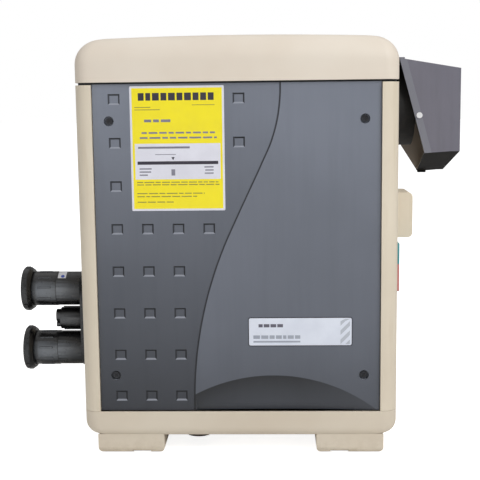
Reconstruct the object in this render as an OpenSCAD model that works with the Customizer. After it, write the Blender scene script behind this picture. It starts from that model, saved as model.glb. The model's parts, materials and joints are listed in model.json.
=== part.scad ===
// Gas pool and spa heater: cabinet on four feet, flue hood on the right, two water unions on the left.
// Frame: millimetres, +Z up, -Y is the front, +X is the right of someone facing the front.
// Origin: floor plane, centre of the four anchor holes in the feet.

/* [Cabinet] */
// overall width across the side panels
cab_w = 533.4; // [450:0.1:650]
// overall depth across the corner posts
cab_d = 711.2; // [600:0.1:800]
// height of the feet, floor to underside of the base
foot_h = 31; // [20:1:60]
// top of the base tray, where the panels start
base_top = 75.5; // [60:0.5:110]
// seam between the panels and the top cover
seam_z = 629; // [500:1:700]
// highest point of the crowned top cover
top_z = 706; // [640:1:800]
// plan radius of the vertical corners
corner_r = 26; // [15:1:40]
// sheet thickness of the metal panels
sheet = 1.5; // [0.8:0.1:3]

/* [Top cover and base] */
// wall of the moulded cover and base
mould = 4; // [2:0.5:6]
// radius that rolls the cover's sides into its top
cover_r = 42; // [20:1:60]
// rise of the cover's crown over its edges
crown = 4; // [1:0.5:10]
// radius that rolls the base's sides into its underside
base_r = 25; // [10:1:35]
// radius that rolls the base's front and back into its underside
base_front_r = 16; // [8:1:30]

/* [Front panel] */
// width of the front and rear inset panels
panel_w = 473; // [400:1:500]
// thickness of the embossed front panel
panel_t = 3; // [2:0.5:5]
// recess of the panel face behind the posts
panel_inset = 5.6; // [2:0.2:12]
// how far the face left of the crease lies behind the rest
crease_step = 0.7; // [0.2:0.1:2]
// width and height of one dimple's mouth
dimple_w = 19.5; // [8:0.5:30]
dimple_h = 17.5; // [8:0.5:30]
// dimple pitch across and up
dimple_dx = 51.2; // [40:0.2:70]
dimple_dz = 71.5; // [50:0.5:90]

/* [Water connections] */
// centre line of both unions, front to back
pipe_y = -45; // [-150:1:150]
// height of the lower and the upper union
pipe_z_low = 112.5; // [90:0.5:150]
pipe_z_high = 232.5; // [180:0.5:300]
// socket radius for two inch pipe
socket_r = 30.2; // [20:0.1:40]
// outer end of the unions, measured from the centre
union_end = 436.3; // [380:0.1:500]

/* [Flue] */
// height and front-to-back place of the flue outlet
flue_z = 587.5; // [500:0.5:640]
flue_y = -30; // [-120:1:120]
// outside radius of the flue collar
collar_r = 77.5; // [60:0.5:100]
// outer face of the hood
hood_x = 406; // [340:1:450]
// half of the hood's depth, cheek to flue centre
hood_half = 92; // [90:1:120]

/* [Output] */
// node to draw

/* [Hidden] */
$fn = 64;
half_w = cab_w / 2;
half_d = cab_d / 2;
gap = 0.3;
panel_face = -half_d + panel_inset;
left_face = panel_face + crease_step;
panel_z0 = base_top + 1;
panel_z1 = seam_z - 2;
cover_z = seam_z + 1;
side_top = seam_z - 3;
floor_z = foot_h + mould;
frame_z0 = floor_z + 0.1;
post_w = half_w - panel_w / 2 - 1;
screw_x = 210;
screw_zs = [137.5, 567];
cup_r = 8.2;
cup_d = 7;
frame_x0 = 196;
frame_x1 = 224;
frame_y0 = -half_d + 18;
frame_y1 = frame_y0 + 20;
drum_x = -20;
drum_y = flue_y;
drum_r = 165;
drum_z0 = 95;
drum_z1 = 455;
duct_end_y = drum_y + drum_r;
mixer_y = duct_end_y + 41;
riser_x = 205;
flue_low_z = 180;
duct_r = 38;
header_x = 322;
nut_len = 19;
body_len = 48;
nut_r = 43;
body_r = 34;
tail_r = 36.55;
seat_r = 32.3;
seat_len = 33;
bore_r = 25;
foot_top = foot_h + 5;
foot_w = 114;
foot_d = 120;
foot_x = 187;
foot_y = 290;
anchor_x = 215;
anchor_y = 285;
drain_x = -74;
drain_y = -293;
ctl_w = 190;
ctl_d = 140;
ctl_y = -155;
ctl_seat = top_z - 2;
ctl_floor = ctl_seat - 16;
button_xs = [-60, -36, -12, 12, 36, 60];
button_y = ctl_y - 32;
button_r = 7;
cover_pin_y = ctl_y + ctl_d / 2 + 6;
cover_pin_z = ctl_seat + 5;
gas_y = 200;
gas_z = 150;
valve_x = 120;
jbox_y = -205;
jbox_z0 = 357;
jbox_z1 = 436;
jbox_x = 303;
lead_z = (jbox_z0 + jbox_z1) / 2;
plate_w = 175;
plate_h = 49.5;
plate_x = 103;
plate_z = 212.5;
label_x = -97.5;
label_z = 521;
hood_y0 = flue_y - hood_half;
hood_y1 = flue_y + hood_half;

// ---- drawing helpers ----

module block(x0, x1, y0, y1, z0, z1) {
  translate([x0, y0, z0]) cube([x1 - x0, y1 - y0, z1 - z0]);
}

module rod_x(r, x0, x1, y, z) {
  translate([x0, y, z]) rotate([0, 90, 0]) cylinder(r = r, h = x1 - x0);
}

module rod_y(r, y0, y1, x, z) {
  translate([x, y0, z]) rotate([-90, 0, 0]) cylinder(r = r, h = y1 - y0);
}

module rod_z(r, z0, z1, x, y) {
  translate([x, y, z0]) cylinder(r = r, h = z1 - z0);
}

module rounded_rect(w, h, r) {
  square([w - 2 * r, h], center = true);
  square([w, h - 2 * r], center = true);
  for (sx = [-1, 1], sy = [-1, 1])
    translate([sx * (w / 2 - r), sy * (h / 2 - r)]) circle(r = r);
}

// upright plate in the XZ plane: a 2D shape drawn as (x, z), from y0 to y1
module plate_xz(y0, y1) {
  translate([0, y1, 0]) rotate([90, 0, 0]) linear_extrude(y1 - y0) children();
}

// upright plate in the YZ plane: a 2D shape drawn as (y, z), from x0 to x1
module plate_yz(x0, x1) {
  translate([x0, 0, 0]) rotate([90, 0, 90]) linear_extrude(x1 - x0) children();
}

// square-shouldered profile with both upper corners rounded
module arch_profile(w, z0, z1, r) {
  translate([-w / 2, z0]) square([w, z1 - r - z0]);
  translate([-w / 2 + r, z0]) square([w - 2 * r, z1 - z0]);
  for (s = [-1, 1]) translate([s * (w / 2 - r), z1 - r]) circle(r = r);
}

// solid with rounded vertical corners, its upper edges rolled over by one radius at the sides
// and another at front and back
module cushion(w, d, z0, z1, plan_r, side_r, front_r) {
  intersection() {
    translate([0, 0, z0]) linear_extrude(z1 - z0) rounded_rect(w, d, plan_r);
    plate_xz(-d, d) arch_profile(w, z0, z1, side_r);
    plate_yz(-w, w) arch_profile(d, z0, z1, front_r);
  }
}

// the cushion turned upside down, rolled edges below
module dish(w, d, z0, z1, plan_r, side_r, front_r) {
  translate([0, 0, z0 + z1]) mirror([0, 0, 1]) cushion(w, d, z0, z1, plan_r, side_r, front_r);
}

// ---- cabinet ----

module base_tray() {
  color("#cabea9") difference() {
    dish(cab_w, cab_d, foot_h, base_top, corner_r, base_r, base_front_r);
    dish(cab_w - 2 * mould, cab_d - 2 * mould, floor_z, base_top + floor_z, corner_r - mould,
      base_r - mould, base_front_r - mould);
    rod_z(9, foot_h - 1, floor_z + 1, drain_x, drain_y);
  }
}

// a moulded foot shaped to the base's underside, with a hold-down notch in its outer face and a
// blind anchor hole
module foot(sx, sy) {
  notch_w = 31;
  notch_h = 5.5;
  notch_x = 169.5;
  notch_t = 14;
  face_y = foot_y + foot_d / 2;
  color("#c5b9a9") difference() {
    translate([sx * foot_x, 0, 0]) intersection() {
      block(-foot_w / 2, foot_w / 2, sy * foot_y - foot_d / 2, sy * foot_y + foot_d / 2, 0, foot_top);
      plate_xz(-half_d, half_d) foot_profile(foot_w);
      plate_yz(-half_w, half_w) translate([sy * foot_y, 0]) foot_profile(foot_d);
    }
    dish(cab_w + 0.2, cab_d + 0.2, foot_h - 0.1, base_top, corner_r, base_r, base_front_r);
    block(sx * notch_x - notch_w / 2, sx * notch_x + notch_w / 2,
      min(sy * (face_y - notch_t), sy * (face_y + 1)), max(sy * (face_y - notch_t), sy * (face_y + 1)),
      -1, notch_h);
    rod_z(4.5, -1, foot_h - 6, sx * anchor_x, sy * anchor_y);
  }
}

// side view of a foot: flat on the floor, both lower corners rounded
module foot_profile(w) {
  r = 11;
  translate([-w / 2, r]) square([w, foot_top - r]);
  translate([-w / 2 + r, 0]) square([w - 2 * r, foot_top]);
  for (s = [-1, 1]) translate([s * (w / 2 - r), r]) circle(r = r);
}

module foot_front_left() foot(-1, -1);
module foot_front_right() foot(1, -1);
module foot_rear_left() foot(-1, 1);
module foot_rear_right() foot(1, 1);

// low drain boss under the base, with a stem through the base floor
module base_drain() {
  color("#3a2c24") difference() {
    union() {
      rod_z(23, foot_h - 13, foot_h, drain_x, drain_y);
      rod_z(8.9, foot_h - 1, floor_z + 3, drain_x, drain_y);
    }
    rod_z(5, foot_h - 14, floor_z + 4, drain_x, drain_y);
  }
}

// galvanised inner frame: four box posts tied by rails at floor and top
module cabinet_frame() {
  rail = 20;
  top = side_top - 6;
  color("#8f9294") difference() {
    union() {
      for (sx = [-1, 1], sy = [-1, 1]) frame_post(sx, sy, top);
      for (sy = [-1, 1], z = [frame_z0, top - rail])
        block(-frame_x1, frame_x1, min(sy * frame_y0, sy * (frame_y0 + 2)),
          max(sy * frame_y0, sy * (frame_y0 + 2)), z, z + rail);
      for (sx = [-1, 1], z = [frame_z0, top - rail])
        block(min(sx * (frame_x1 - 2), sx * frame_x1), max(sx * (frame_x1 - 2), sx * frame_x1),
          frame_y0, -frame_y0, z, z + rail);
    }
    for (sx = [-1, 1], z = screw_zs) rod_y(3.2, -half_d, half_d, sx * screw_x, z);
    block(riser_x, half_w, flue_y - duct_r - 5, flue_y + duct_r + 5, flue_z - duct_r, seam_z);
  }
}

module frame_post(sx, sy, top) {
  post_wall = 2;
  difference() {
    block(min(sx * frame_x0, sx * frame_x1), max(sx * frame_x0, sx * frame_x1),
      min(sy * frame_y0, sy * frame_y1), max(sy * frame_y0, sy * frame_y1), frame_z0, top);
    block(min(sx * (frame_x0 + post_wall), sx * (frame_x1 - post_wall)),
      max(sx * (frame_x0 + post_wall), sx * (frame_x1 - post_wall)),
      min(sy * (frame_y0 + post_wall), sy * (frame_y1 - post_wall)),
      max(sy * (frame_y0 + post_wall), sy * (frame_y1 - post_wall)), floor_z, top + 1);
  }
}

// side panel folded round both corners to form the posts, with a return lip beside the inset panels
module side_shell(sx) {
  lip = 14;
  inner = half_w - post_w;
  difference() {
    translate([0, 0, base_top + gap]) linear_extrude(side_top - base_top - gap) {
      difference() {
        rounded_rect(cab_w, cab_d, corner_r);
        rounded_rect(cab_w - 2 * sheet, cab_d - 2 * sheet, corner_r - sheet);
        translate([-sx * half_w, 0]) square([cab_w + 2 * inner, cab_d + 2], center = true);
      }
      for (sy = [-1, 1])
        translate([sx * (inner + sheet / 2), sy * (half_d - lip / 2)]) square([sheet, lip], center = true);
    }
    children();
  }
}

module side_panel_left() {
  color("#bfb4a0") side_shell(-1) {
    block(-half_w - 1, -half_w + 10, pipe_y - 38, pipe_y + 38, 78, 268);
    for (i = [0:5]) block(-half_w - 1, -half_w + 10, 190, 300, 440 + 24 * i, 448 + 24 * i);
  }
}

module side_panel_right() {
  color("#d3c8b4") side_shell(1) {
    rod_x(collar_r + 2, half_w - 10, half_w + 1, flue_y, flue_z);
    rod_x(15, half_w - 10, half_w + 1, gas_y, gas_z);
    rod_x(10, half_w - 10, half_w + 1, jbox_y, lead_z);
  }
}

module inset_sheet(sy) {
  flange = 9;
  for (sx = [-1, 1])
    block(min(sx * panel_w / 2, sx * (panel_w / 2 - 2)), max(sx * panel_w / 2, sx * (panel_w / 2 - 2)),
      min(sy * panel_face, sy * (panel_face + flange)), max(sy * panel_face, sy * (panel_face + flange)),
      panel_z0, panel_z1);
  for (z = [panel_z0, panel_z1 - 2])
    block(-panel_w / 2, panel_w / 2, min(sy * panel_face, sy * (panel_face + flange)),
      max(sy * panel_face, sy * (panel_face + flange)), z, z + 2);
  block(-panel_w / 2, panel_w / 2, min(sy * panel_face, sy * (panel_face + panel_t)),
    max(sy * panel_face, sy * (panel_face + panel_t)), panel_z0, panel_z1);
  for (sx = [-1, 1], z = screw_zs)
    rod_y(cup_r + 1.5, min(sy * panel_face, sy * (panel_face + cup_d + 1.5)),
      max(sy * panel_face, sy * (panel_face + cup_d + 1.5)), sx * screw_x, z);
}

module screw_cups(sy) {
  for (sx = [-1, 1], z = screw_zs) {
    rod_y(cup_r, min(sy * (panel_face - 1), sy * (panel_face + cup_d)),
      max(sy * (panel_face - 1), sy * (panel_face + cup_d)), sx * screw_x, z);
    rod_y(2.8, min(sy * (panel_face - 1), sy * (panel_face + 12)),
      max(sy * (panel_face - 1), sy * (panel_face + 12)), sx * screw_x, z);
  }
}

// cross-head screw sunk in each cup, its shank in the frame post
module panel_screws(sy) {
  head_t = 3;
  seat = panel_face + cup_d;
  for (sx = [-1, 1], z = screw_zs) difference() {
    union() {
      rod_y(5.5, min(sy * (seat - head_t), sy * seat), max(sy * (seat - head_t), sy * seat), sx * screw_x, z);
      rod_y(2.5, min(sy * seat, sy * (seat + 14)), max(sy * seat, sy * (seat + 14)), sx * screw_x, z);
    }
    for (a = [45, -45])
      translate([sx * screw_x, sy * (seat - head_t), z]) rotate([0, a, 0]) cube([7, 3, 1.4], center = true);
  }
}

// ---- front panel: S-shaped crease, square dimples to its left, arched scoop at lower right ----

crease_top_x = 71;
crease_low_x = -77;
crease_lean = 24.5;
crease_r_top = 250;
crease_r_low = 700;
crease_z_top = 617;
crease_z_low = 90;
arc_top_z = crease_z_top - crease_r_top * sin(crease_lean);
arc_low_z = crease_z_low + crease_r_low * sin(crease_lean);
arc_top_x = crease_top_x - crease_r_top * (1 - cos(crease_lean));
arc_low_x = crease_low_x + crease_r_low * (1 - cos(crease_lean));

// horizontal place of the crease at height z: arc, straight run, arc
function crease_x(z) =
  z >= crease_z_top ? crease_top_x :
  z > arc_top_z ? crease_top_x - crease_r_top + sqrt(pow(crease_r_top, 2) - pow(crease_z_top - z, 2)) :
  z > arc_low_z ? arc_low_x + (arc_top_x - arc_low_x) * (z - arc_low_z) / (arc_top_z - arc_low_z) :
  z > crease_z_low ? crease_low_x + crease_r_low - sqrt(pow(crease_r_low, 2) - pow(z - crease_z_low, 2)) :
  crease_low_x;

function crease_line(dx, steps) =
  [for (i = [0:steps]) let (z = panel_z0 - 1 + (panel_z1 - panel_z0 + 2) * i / steps) [crease_x(z) + dx, z]];

function backwards(v) = [for (i = [len(v) - 1:-1:0]) v[i]];

// profile of a dimple across one of its sides: sloping walls, flat floor
module dimple_profile(mouth) {
  depth = 2.2;
  wall = 2.6;
  lead = 1;
  top = mouth / 2 + lead * wall / depth;
  polygon([[-top, -lead], [top, -lead], [mouth / 2 - wall, depth], [wall - mouth / 2, depth]]);
}

module dimple_cut(x, z) {
  translate([x, left_face, z]) intersection() {
    translate([0, 0, -dimple_w]) linear_extrude(2 * dimple_w) dimple_profile(dimple_w);
    translate([-dimple_w, 0, 0]) rotate([0, 90, 0]) linear_extrude(2 * dimple_w) dimple_profile(dimple_h);
  }
}

// shallow cone that slopes back from an arch on the panel face; the panel's lower edge cuts it off
scoop_r = 283;
scoop_x = 57;
scoop_top = 137;
scoop_slope = 0.12;
scoop_reach = 8;

module scoop(set_back, side) {
  lead = 1;
  intersection() {
    translate([scoop_x, panel_face + set_back - lead, scoop_top - scoop_r]) rotate([-90, 0, 0])
      cylinder(r1 = scoop_r + lead / scoop_slope, r2 = scoop_r - scoop_reach / scoop_slope,
        h = scoop_reach + lead, $fn = 180);
    block(crease_low_x + 4 - side, panel_w / 2 - 4 + side, -half_d, 0, panel_z0 - 1 + side, scoop_top + 20);
  }
}

module front_panel() {
  crease_half = 1.2;
  crease_depth = 2;
  margin = 21;
  first_x = -201;
  first_z = 102;
  edge = panel_w / 2 + 1;
  color("#74767f") difference() {
    union() {
      inset_sheet(1);
      intersection() {
        scoop(panel_t, 2);
        block(-panel_w / 2, panel_w / 2, panel_face + 0.5, 0, panel_z0, scoop_top + 5);
      }
    }
    screw_cups(1);
    scoop(0, 0);
    plate_xz(panel_face - 1, panel_face + crease_depth)
      polygon(concat(crease_line(-crease_half, 48), backwards(crease_line(crease_half, 48))));
    plate_xz(panel_face - 1, left_face)
      polygon(concat(crease_line(0, 48), [[-edge, panel_z1 + 1], [-edge, panel_z0 - 1]]));
    for (col = [0:4], row = [0:7])
      let (x = first_x + col * dimple_dx, z = first_z + row * dimple_dz)
        if (x < crease_x(z) - margin) dimple_cut(x, z);
  }
}

module front_screws() {
  color("#55575c") panel_screws(1);
}

module nameplate() {
  color("#d6dbe6") translate([plate_x, 0, plate_z]) plate_xz(panel_face - 1.6, panel_face)
    rounded_rect(plate_w, plate_h, 4);
}

module warning_label() {
  label_w = 155;
  label_h = 205;
  label_t = 0.4;
  color("#eddd33") translate([label_x, 0, label_z]) plate_xz(left_face - label_t, left_face)
    rounded_rect(label_w, label_h, 2);
}

// ---- rear panel with pressed air louvres ----

module rear_panel() {
  slot_w = 150;
  slot_h = 7;
  pitch = 30;
  slot_x = 100;
  slot_z = 190;
  color("#6f7178") difference() {
    union() {
      inset_sheet(-1);
      for (sx = [-1, 1], i = [0:11]) translate([sx * slot_x - slot_w / 2, -panel_face, slot_z + pitch * i])
        rotate([90, 0, 90]) linear_extrude(slot_w)
          polygon([[0, slot_h + 6], [5, slot_h - 5], [5, slot_h - 7], [0, slot_h - 1]]);
    }
    screw_cups(-1);
    for (sx = [-1, 1], i = [0:11])
      block(sx * slot_x - slot_w / 2 + 2, sx * slot_x + slot_w / 2 - 2, -panel_face - 10, -panel_face + 0.001,
        slot_z + pitch * i, slot_z + pitch * i + slot_h - 1.5);
  }
}

module rear_screws() {
  color("#55575c") panel_screws(-1);
}

// ---- top cover and controls ----

module crown_solid(z_top) {
  crown_r = pow(half_w - cover_r, 2) / (2 * crown);
  plate_xz(-cab_d, cab_d) translate([0, z_top - crown_r]) circle(r = crown_r, $fn = 360);
}

module top_cover() {
  lip_h = 9;
  lip_t = 2.5;
  color("#e3d9cb") difference() {
    union() {
      difference() {
        intersection() {
          cushion(cab_w, cab_d, cover_z, top_z, corner_r, cover_r, cover_r);
          crown_solid(top_z);
        }
        intersection() {
          cushion(cab_w - 2 * mould, cab_d - 2 * mould, cover_z - 10, top_z - mould, corner_r - mould,
            cover_r - mould, cover_r - mould);
          crown_solid(top_z - mould);
        }
      }
      translate([0, 0, cover_z - lip_h]) linear_extrude(lip_h + 4) difference() {
        rounded_rect(cab_w - 2 * mould + 1, cab_d - 36, 12);
        rounded_rect(cab_w - 2 * mould + 1 - 2 * lip_t, cab_d - 36 - 2 * lip_t, 10);
      }
      lip_ties(lip_t);
    }
    block(-ctl_w / 2 - 6, ctl_w / 2 + 6, ctl_y - ctl_d / 2 - 6, ctl_y + ctl_d / 2 + 14, ctl_seat, top_z + 1);
    block(-ctl_w / 2, ctl_w / 2, ctl_y - ctl_d / 2, ctl_y + ctl_d / 2, top_z - 20, top_z + 1);
    rod_x(collar_r + 2, half_w - 40, half_w + 1, flue_y, flue_z);
  }
}

// ledge that joins the inner lip of the cover to its skirt, front and rear
module lip_ties(lip_t) {
  for (sy = [-1, 1])
    block(-half_w + corner_r, half_w - corner_r, min(sy * (half_d - mould - 0.5), sy * (half_d - 18 - lip_t)),
      max(sy * (half_d - mould - 0.5), sy * (half_d - 18 - lip_t)), cover_z, cover_z + 3);
}

module control_bezel() {
  wall = 3;
  flange_t = 1.4;
  color("#35383c") difference() {
    union() {
      block(-ctl_w / 2 - 5.5, ctl_w / 2 + 5.5, ctl_y - ctl_d / 2 - 5.5, ctl_y + ctl_d / 2 + 13.5, ctl_seat,
        ctl_seat + flange_t);
      block(-ctl_w / 2 + gap, ctl_w / 2 - gap, ctl_y - ctl_d / 2 + gap, ctl_y + ctl_d / 2 - gap,
        ctl_floor - 2, ctl_seat + 0.5);
      for (s = [-1, 1]) {
        rod_x(3.4, min(s * 74, s * 84), max(s * 74, s * 84), cover_pin_y, cover_pin_z);
        block(min(s * 74, s * 84), max(s * 74, s * 84), cover_pin_y - 3.4, cover_pin_y + 3.4, ctl_seat,
          cover_pin_z);
      }
    }
    block(-ctl_w / 2 + wall, ctl_w / 2 - wall, ctl_y - ctl_d / 2 + wall, ctl_y + ctl_d / 2 - wall,
      ctl_floor, top_z + 10);
    for (x = button_xs) rod_z(button_r + 0.3, ctl_floor - 3, ctl_floor + 1, x, button_y);
    rod_x(1.5, -90, 90, cover_pin_y, cover_pin_z);
  }
}

module display_window() {
  color("#2f4238") block(-48, 48, ctl_y - 8, ctl_y + 34, ctl_floor, ctl_floor + 3);
}

// circuit board under the bezel floor, with one switch under each button
module control_board() {
  board_z = ctl_floor - 12;
  color("#2d5a3a") {
    block(-85, 85, ctl_y - 55, ctl_y + 55, board_z, board_z + 1.6);
    for (x = button_xs) block(x - 3, x + 3, button_y - 3, button_y + 3, board_z + 1.5, board_z + 4);
    for (x = [-60, 0, 60]) rod_z(3, board_z + 1.5, ctl_floor - 2, x, ctl_y + 48);
  }
}

module control_cover() {
  plate_z0 = ctl_seat + 1.8;
  color("#d9cfc0") difference() {
    union() {
      block(-ctl_w / 2, ctl_w / 2, ctl_y - ctl_d / 2, cover_pin_y - 4.2, plate_z0, plate_z0 + 2.2);
      rod_x(3.2, -73, 73, cover_pin_y, cover_pin_z);
      block(-73, 73, cover_pin_y - 8, cover_pin_y, cover_pin_z - 2.6, cover_pin_z - 0.9);
      block(-73, 73, cover_pin_y - 8, cover_pin_y - 5, plate_z0, cover_pin_z - 0.9);
    }
    rod_x(1.55, -80, 80, cover_pin_y, cover_pin_z);
  }
}

module cover_hinge_pin() {
  color("#9a9c9f") rod_x(1.5, -84, 84, cover_pin_y, cover_pin_z);
}

// push button: round cap with a collar below the bezel floor and a stem above its switch
module button(i) {
  color(i == 5 ? "#a33b34" : "#c9c6be") {
    rod_z(button_r, ctl_floor - 3.2, ctl_floor + 3, button_xs[i], button_y);
    rod_z(button_r + 2, ctl_floor - 4.4, ctl_floor - 2.3, button_xs[i], button_y);
    rod_z(2, ctl_floor - 6, ctl_floor - 4, button_xs[i], button_y);
  }
}

module button_1() button(0);
module button_2() button(1);
module button_3() button(2);
module button_4() button(3);
module button_5() button(4);
module button_6() button(5);

// ---- flue ----

module flue_collar() {
  color("#232221") difference() {
    union() {
      rod_x(collar_r + 9, half_w + 0.5, half_w + 3.5, flue_y, flue_z);
      rod_x(collar_r, half_w + 0.5, collar_x, flue_y, flue_z);
      rod_x(duct_r + 8, 250, half_w + 1, flue_y, flue_z);
    }
    rod_x(collar_r - 4, half_w + 3.5, collar_x + 1, flue_y, flue_z);
    rod_x(duct_r + 0.3, 249, half_w + 4, flue_y, flue_z);
  }
}

module flue_duct() {
  wall = 2;
  color("#a9abad") difference() {
    flue_run(duct_r);
    flue_run(duct_r - wall);
    rod_x(duct_r - wall, drum_x + drum_r - 5, riser_x, drum_y, flue_low_z);
    rod_x(duct_r - wall, riser_x, half_w + 5, flue_y, flue_z);
  }
}

module flue_run(r) {
  rod_x(r, drum_x + drum_r + 1, riser_x, flue_y, flue_low_z);
  rod_z(r, flue_low_z, flue_z, riser_x, flue_y);
  rod_x(r, riser_x, half_w + 2, flue_y, flue_z);
  for (z = [flue_low_z, flue_z]) translate([riser_x, flue_y, z]) sphere(r = r);
}

// sheet-metal hood: back plate, sloping top with a raised strip at the wall, outer plate, two cheeks,
// a floor that falls to the rear with a tab at its far corner, and a folded band up the near cheek
hood_back = half_w + 3.8;
collar_x = 326;
hood_top_in = 677;
hood_top_out = 653.5;
cheek_top_x = 293;
hood_near_low = 502;
hood_far_low = 456;
floor_x_near = 341;
floor_x_far = 354;
strip_x = 303;
strip_t = 3;
tab_w = 16;
band_w = 14;
cheek_corner_x = 320;

function hood_top(x) = hood_top_in + (hood_top_out - hood_top_in) * (x - hood_back) / (hood_x - hood_back);

module exhaust_hood() {
  color("#75747f") {
    difference() {
      plate_yz(hood_back, hood_back + sheet)
        translate([hood_y0, hood_near_low]) square([hood_y1 - hood_y0, hood_top_in - hood_near_low]);
      rod_x(collar_r + 0.5, hood_back - 1, hood_back + 3, flue_y, flue_z);
    }
    plate_xz(hood_y0, hood_y1) polygon([[hood_back, hood_top_in], [hood_x, hood_top_out],
      [hood_x, hood_top_out - sheet], [hood_back, hood_top_in - sheet]]);
    block(hood_back, strip_x, hood_y0 + 2, hood_y1 - 2, hood_top(strip_x) - 1, hood_top(strip_x) + strip_t);
    block(floor_x_far, floor_x_far + tab_w, hood_y1 - 8, hood_y1, hood_far_low - 6, hood_far_low);
    plate_yz(hood_x - sheet, hood_x) polygon([[hood_y0, hood_top_out], [hood_y1, hood_top_out],
      [hood_y1, hood_far_low], [hood_y0, hood_near_low]]);
    plate_xz(hood_y0, hood_y0 + sheet) polygon([[cheek_top_x, hood_top(cheek_top_x)],
      [hood_x, hood_top_out], [hood_x, hood_near_low], [floor_x_near, hood_near_low - 4]]);
    plate_xz(hood_y1 - sheet, hood_y1) polygon([[cheek_top_x, hood_top(cheek_top_x)],
      [hood_x, hood_top_out], [hood_x, hood_far_low], [floor_x_far, hood_far_low - 4],
      [cheek_corner_x, hood_near_low + 3]]);
    intersection() {
      plate_yz(floor_x_near, hood_x) polygon([[hood_y0, hood_near_low + sheet - 1], [hood_y1, hood_far_low + sheet - 1],
        [hood_y1, hood_far_low - 1], [hood_y0, hood_near_low - 1]]);
      translate([0, 0, hood_far_low - 20]) linear_extrude(hood_near_low) polygon([[floor_x_near, hood_y0],
        [hood_x, hood_y0], [hood_x, hood_y1], [floor_x_far, hood_y1]]);
    }
    plate_xz(hood_y0 - 0.8, hood_y0 + 0.1) polygon([[cheek_top_x, hood_top(cheek_top_x)],
      [cheek_top_x + band_w, hood_top(cheek_top_x + band_w)], [floor_x_near + band_w - 1, hood_near_low - 3],
      [floor_x_near, hood_near_low - 4]]);
  }
}

module hood_screws() {
  color("#b9bbbe") {
    rod_y(5.5, hood_y0 - 3.2, hood_y0 - 0.8, 330.5, 568);
    rod_y(5.5, hood_y1, hood_y1 + 2.4, 330.5, 568);
    for (sy = [-1, 1], sz = [-1, 1])
      rod_x(4, hood_back + sheet, hood_back + sheet + 3, flue_y + sy * 66, flue_z - 8 + sz * 66);
  }
}

// ---- water header and unions ----

module water_header() {
  flange_t = 12;
  inner_flange_x = 195;
  neck_r = 35;
  color("#2c2b2d") difference() {
    union() {
      rod_x(neck_r, -header_x, -half_w - 0.5, pipe_y, pipe_z_low);
      translate([-header_x, pipe_y, pipe_z_high]) rotate([0, 90, 0]) cylinder(r1 = neck_r, r2 = 46, h = flange_t);
      rod_x(46, flange_t - header_x, -half_w - 0.5, pipe_y, pipe_z_high);
      block(-header_x, -half_w - 0.5, pipe_y - 34, pipe_y + 34, pipe_z_low, pipe_z_high);
      block(-half_w - 0.6, -inner_flange_x, pipe_y - 36, pipe_y + 36, 80, 266);
      block(-inner_flange_x - 0.1, -188, pipe_y - 46, pipe_y + 46, 74, 285);
    }
    for (z = [pipe_z_low, pipe_z_high]) rod_x(bore_r, -header_x - 1, -200, pipe_y, z);
  }
}

module header_bolts() {
  seat_x = -195.1;
  color("#8d8f92")
    for (sy = [-1, 1], z = [86, 128, 172, 216, 275]) rod_x(4, seat_x - 5, seat_x, pipe_y + sy * 41, z);
}

// capped bypass valve between the two unions: round housing with a ridge above and below,
// an end boss and a small knob
module bypass_cap() {
  cap_z = 172.5;
  cap_x = -365;
  end_x = -374.5;
  cap_r = 21.5;
  ridge_h = 24;
  color("#2a292b") {
    rod_x(cap_r, cap_x, -header_x, pipe_y, cap_z);
    block(cap_x + 4, -header_x - 2, pipe_y - 1.2, pipe_y + 1.2, cap_z - ridge_h, cap_z + ridge_h);
    rod_x(13, end_x, cap_x + 0.5, pipe_y, cap_z + 5);
    rod_x(5, end_x - 1, cap_x + 0.5, pipe_y, cap_z - 13);
  }
}

// round union body with grip ribs, on a plain neck
module union_body(z) {
  ribs = 10;
  rib_w = 2.6;
  rib_h = 1.5;
  barrel_x0 = -union_end + nut_len;
  barrel_x1 = barrel_x0 + body_len;
  color("#3f4044") difference() {
    union() {
      rod_x(body_r - 0.7, barrel_x1 - 0.5, -header_x, pipe_y, z);
      rod_x(body_r, barrel_x0, barrel_x1, pipe_y, z);
      for (i = [0:ribs - 1]) translate([barrel_x0, pipe_y, z]) rotate([i * 360 / ribs + 6, 0, 0])
        translate([12, -rib_w / 2, body_r - 1]) cube([26, rib_w, 1 + rib_h]);
    }
    rod_x(seat_r + 0.2, barrel_x0 - 1, -union_end + seat_len, pipe_y, z);
    rod_x(bore_r, barrel_x0 - 1, -header_x + 1, pipe_y, z);
  }
}

// socket for two inch pipe, seated in the union body and held to it by the nut
module tailpiece(z) {
  socket_depth = 29;
  color("#343437") difference() {
    union() {
      rod_x(tail_r, -union_end - 1, -union_end + nut_len - 0.2, pipe_y, z);
      rod_x(seat_r, -union_end, -union_end + seat_len - 0.2, pipe_y, z);
    }
    rod_x(socket_r, -union_end - 2, -union_end + socket_depth, pipe_y, z);
    rod_x(bore_r, -union_end, -union_end + seat_len + 1, pipe_y, z);
  }
}

// smooth ring nut, chamfered inboard, with eight shallow grips
module union_nut(z) {
  lugs = 8;
  step_r = 38.5;
  shoulder = 12;
  color("#29282a") difference() {
    union() {
      rod_x(nut_r - 2, -union_end, -union_end + shoulder, pipe_y, z);
      rod_x(nut_r, -union_end + 2, -union_end + shoulder, pipe_y, z);
      translate([-union_end + shoulder, pipe_y, z]) rotate([0, 90, 0])
        cylinder(r1 = nut_r, r2 = step_r, h = nut_len - 0.5 - shoulder);
      for (i = [0:lugs - 1]) translate([-union_end + 3, pipe_y, z]) rotate([i * 360 / lugs, 0, 0])
        translate([0, -6, nut_r - 2]) cube([shoulder - 4, 12, 2.6]);
    }
    rod_x(tail_r + 0.05, -union_end - 2, -union_end + nut_len, pipe_y, z);
  }
}

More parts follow.
